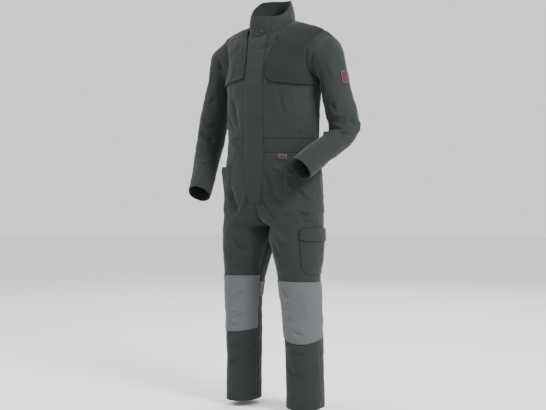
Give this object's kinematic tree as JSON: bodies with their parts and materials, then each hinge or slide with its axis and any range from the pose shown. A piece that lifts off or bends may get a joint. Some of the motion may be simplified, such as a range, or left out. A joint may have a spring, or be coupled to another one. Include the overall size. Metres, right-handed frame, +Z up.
{
  "type": "boiler suit",
  "caption": "Hollow worn boiler suit with stand collar, covered front, chest flaps, thigh pocket and contrasting knee panels.",
  "frame": {"origin": "midway between the two points where the shoulder seams meet the collar, the mount worn_on_shoulders", "axes": "+X to the wearer's left, -Y to the wearer's front, +Z up along the body"},
  "size_m": [0.6783, 0.2984, 1.5108],
  "materials": {
    "cloth": "dark grey twill work cloth",
    "knee_cloth": "mid grey hard-wearing canvas",
    "tag_cloth": "plain woven tag",
    "snap": "dark painted press stud"
  },
  "bodies": {
    "root": {"front_left": "cloth", "front_right": "cloth", "back": "cloth", "back_yoke": "cloth", "waistband": "cloth", "collar": "cloth", "placket": "cloth", "chest_flap_left": "cloth", "chest_flap_right": "cloth", "top_sleeve_left": "cloth", "under_sleeve_left": "cloth", "top_sleeve_right": "cloth", "under_sleeve_right": "cloth", "leg_front_left": "cloth", "leg_back_left": "cloth", "leg_front_right": "cloth", "leg_back_right": "cloth", "cargo_pocket": "cloth", "cargo_flap": "cloth", "hip_pocket_left": "cloth", "hip_pocket_right": "cloth", "rule_pocket": "cloth", "knee_panel_left": "knee_cloth", "knee_panel_right": "knee_cloth", "knee_band_left": "knee_cloth", "knee_band_right": "knee_cloth", "waist_label": "tag_cloth", "sleeve_patch": "tag_cloth", "collar_snap": "snap"}
  },
  "joints": []
}
